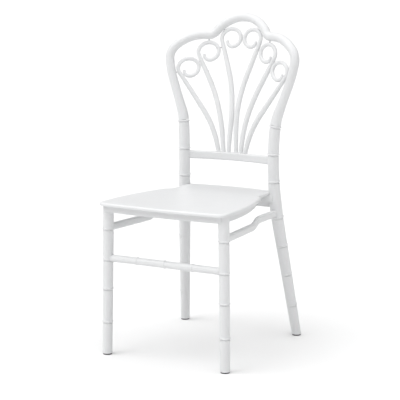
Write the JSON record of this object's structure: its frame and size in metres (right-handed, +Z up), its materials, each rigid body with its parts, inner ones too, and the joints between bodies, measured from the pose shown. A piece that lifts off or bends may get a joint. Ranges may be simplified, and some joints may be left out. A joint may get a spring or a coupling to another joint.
{
  "type": "chiavari chair",
  "caption": "White moulded banquet chair with bamboo-ringed legs, a flat lipped seat, stretchers and a lobed crown back filled with a fan of scrolled spindles.",
  "frame": {"origin": "on the floor, in the middle of the chair's width and depth", "axes": "+X to the viewer's right when the chair is seen from the front, +Y from the front of the seat to the back, +Z up"},
  "size_m": [0.4384, 0.5232, 0.9506],
  "materials": {
    "resin": "white satin moulded resin",
    "glide": "grey moulded plastic",
    "steel": "zinc plated",
    "brass": "plain"
  },
  "bodies": {
    "root": {"rear_post_right": "resin", "rear_post_left": "resin", "crown_bow": "resin", "lower_back_rail": "resin", "scroll_spindle_outer_right": "resin", "scroll_spindle_outer_left": "resin", "scroll_spindle_middle_right": "resin", "scroll_spindle_middle_left": "resin", "scroll_spindle_inner_right": "resin", "scroll_spindle_inner_left": "resin", "seat_panel": "resin", "front_leg_right": "resin", "front_leg_left": "resin", "front_stretcher": "resin", "side_stretcher_right": "resin", "side_stretcher_left": "resin", "foot_glide_front_right": "glide", "foot_glide_front_left": "glide", "foot_glide_rear_right": "glide", "foot_glide_rear_left": "glide", "crown_dowels": "steel", "scroll_pins": "steel", "seat_bolts": "steel", "seat_bolt_inserts": "brass"}
  },
  "joints": []
}
